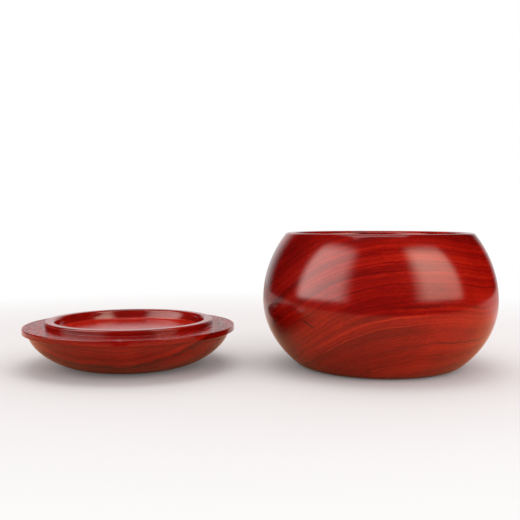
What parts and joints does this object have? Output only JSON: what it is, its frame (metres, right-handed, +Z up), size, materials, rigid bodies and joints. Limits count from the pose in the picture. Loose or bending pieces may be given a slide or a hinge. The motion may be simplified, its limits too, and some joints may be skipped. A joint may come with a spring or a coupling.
{
  "type": "go stone bowl",
  "caption": "Round turned hardwood bowl for go stones with a rounded lip, and its wide-flanged domed lid lying upside down beside it.",
  "frame": {"origin": "centre of the bowl's foot, on the table top", "axes": "+Z up along the bowl's turning axis, +X from the lid towards the bowl, +Y away from the front"},
  "size_m": [0.2843, 0.14, 0.0805],
  "materials": {
    "bowl_wood": "clear gloss lacquer over deep red hardwood",
    "lid_wood": "clear gloss lacquer over deep red hardwood"
  },
  "bodies": {
    "bowl": {"bowl": "bowl_wood"},
    "lid": {"lid": "lid_wood"}
  },
  "joints": [
    {"name": "lid_turn_over", "type": "hinge", "parent": "bowl", "child": "lid", "pos_m": [-0.0755, 0, 0.0528], "axis": [0, 1, 0], "range_deg": [0, 180]}
  ]
}
